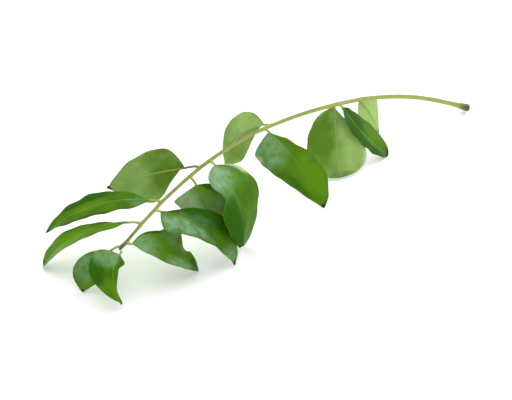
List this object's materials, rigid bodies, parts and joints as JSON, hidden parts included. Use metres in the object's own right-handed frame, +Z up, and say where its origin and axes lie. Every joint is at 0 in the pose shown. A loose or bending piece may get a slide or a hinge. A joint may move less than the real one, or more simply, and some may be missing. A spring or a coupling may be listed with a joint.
{
  "type": "curry leaf sprig",
  "caption": "Cut compound leaf with an arching green stalk and pointed glossy leaflets set alternately along it, lying on its drooping leaflet tips and its swollen cut foot.",
  "frame": {"origin": "on the surface it lies on, below the middle of the box around it", "axes": "+X along the sprig towards the cut foot of the stalk, +Z up, +Y towards the right side of the stalk as seen from the foot"},
  "size_m": [0.2049, 0.0589, 0.0432],
  "materials": {
    "leaflet": "glossy deep green above, matte pale green below",
    "stalk": "smooth yellow green, olive brown above and at the cut foot"
  },
  "bodies": {
    "root": {"stalk": "stalk", "leaflet_01": "leaflet", "leaflet_02": "leaflet", "leaflet_03": "leaflet", "leaflet_04": "leaflet", "leaflet_05": "leaflet", "leaflet_06": "leaflet", "leaflet_07": "leaflet", "leaflet_08": "leaflet", "leaflet_09": "leaflet", "leaflet_10": "leaflet", "leaflet_11": "leaflet", "leaflet_12": "leaflet", "leaflet_13": "leaflet", "end_leaflet": "leaflet"}
  },
  "joints": []
}
